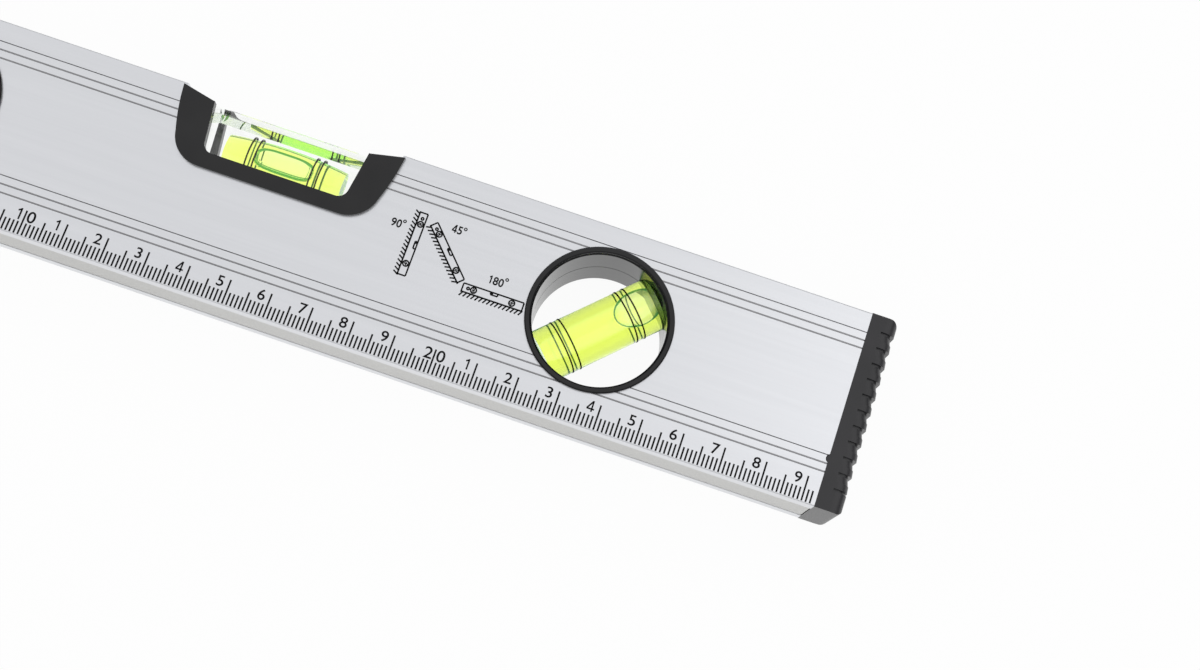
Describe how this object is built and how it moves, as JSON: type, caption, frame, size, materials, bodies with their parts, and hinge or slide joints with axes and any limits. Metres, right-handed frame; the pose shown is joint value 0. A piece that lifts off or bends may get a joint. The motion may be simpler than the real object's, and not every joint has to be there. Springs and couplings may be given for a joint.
{
  "type": "magnetic spirit level",
  "caption": "Short aluminium box level with a magnetic measuring base, a level vial at the top edge, a plumb and a 45 degree vial in round windows, moulded end caps and a hang hole.",
  "frame": {"origin": "middle of the footprint of the level lying on its back, on the surface under the rear bezels", "axes": "+X along the level towards the end cap past the 29 cm mark, +Y from the measuring base to the top edge, +Z out of the printed front face"},
  "size_m": [0.3, 0.048, 0.0236],
  "materials": {
    "aluminium_body": "satin anodised",
    "cap_plastic": "satin moulded",
    "black_plastic": "satin moulded",
    "magnet_strip": "dull grey",
    "clear_acrylic": "clear",
    "vial_liquid": "yellow-green liquid",
    "line_ink": "printed line"
  },
  "bodies": {
    "root": {"body": "aluminium_body", "end_cap_left": "cap_plastic", "end_cap_right": "cap_plastic", "magnet_strip": "magnet_strip", "centre_frame_front": "black_plastic", "centre_frame_rear": "black_plastic", "centre_window_block": "clear_acrylic", "centre_vial_tube": "clear_acrylic", "centre_vial_liquid": "vial_liquid", "centre_vial_plug": "clear_acrylic", "centre_vial_rings": "line_ink", "plumb_ring_front": "black_plastic", "plumb_ring_rear": "black_plastic", "plumb_vial_tube": "clear_acrylic", "plumb_vial_liquid": "vial_liquid", "plumb_vial_plug": "clear_acrylic", "plumb_vial_rings": "line_ink", "angle_ring_front": "black_plastic", "angle_ring_rear": "black_plastic", "angle_vial_tube": "clear_acrylic", "angle_vial_liquid": "vial_liquid", "angle_vial_plug": "clear_acrylic", "angle_vial_rings": "line_ink", "hang_eyelet_front": "black_plastic", "hang_eyelet_rear": "black_plastic"}
  },
  "joints": []
}
